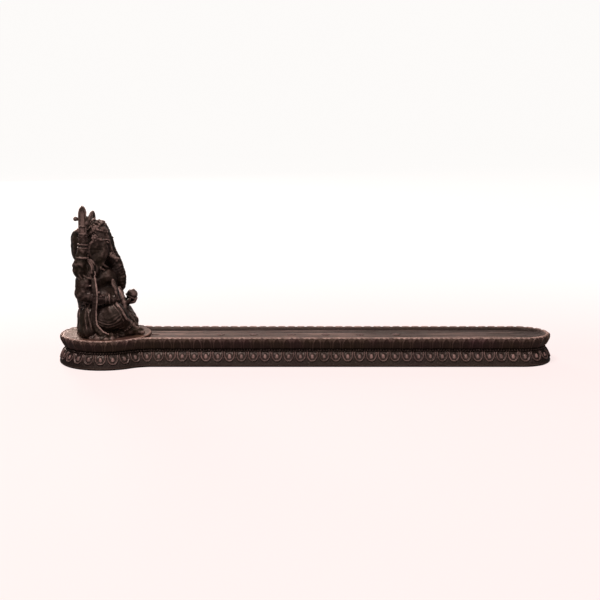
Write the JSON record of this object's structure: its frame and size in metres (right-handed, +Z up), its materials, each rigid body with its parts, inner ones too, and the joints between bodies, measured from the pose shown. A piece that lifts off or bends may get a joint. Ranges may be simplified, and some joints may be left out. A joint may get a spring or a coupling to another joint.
{
  "type": "incense burner",
  "caption": "Long lotus-plinth ash tray for an incense stick, with a seated four-armed elephant-headed figure at its round end.",
  "frame": {"origin": "centre of the underside's bounding rectangle, on the surface it stands on", "axes": "+X along the tray away from the figure, +Z up, +Y towards the figure's left hand"},
  "size_m": [0.26, 0.0502, 0.0838],
  "materials": {
    "resin_base": "satin",
    "resin_petals": "satin, worn lighter on the high points",
    "resin_figure": "satin",
    "resin_drapery": "satin",
    "felt": "matt felt",
    "dowel_steel": "plain"
  },
  "bodies": {
    "root": {"elephant_head": "resin_figure", "felt_pad": "felt", "figure_dowel": "dowel_steel", "figure_ground_disc": "resin_base", "figure_torso": "resin_figure", "floor_rosettes": "resin_petals", "front_sash": "resin_drapery", "goad": "resin_figure", "hair_bun": "resin_figure", "hip_drapery": "resin_drapery", "left_ear": "resin_figure", "left_front_arm": "resin_figure", "left_leg": "resin_figure", "left_rear_arm": "resin_figure", "left_scarf": "resin_drapery", "left_tusk": "resin_figure", "lower_lotus_petals": "resin_petals", "noose": "resin_figure", "right_ear": "resin_figure", "right_front_arm": "resin_figure", "right_leg": "resin_figure", "right_rear_arm": "resin_figure", "right_scarf": "resin_drapery", "right_tusk": "resin_figure", "seat_cushion": "resin_drapery", "sweet_bowl": "resin_figure", "tiered_crown": "resin_figure", "tray_casting": "resin_base", "trunk": "resin_figure", "upper_lotus_petals": "resin_petals", "waist_bead_moulding": "resin_petals"}
  },
  "joints": []
}
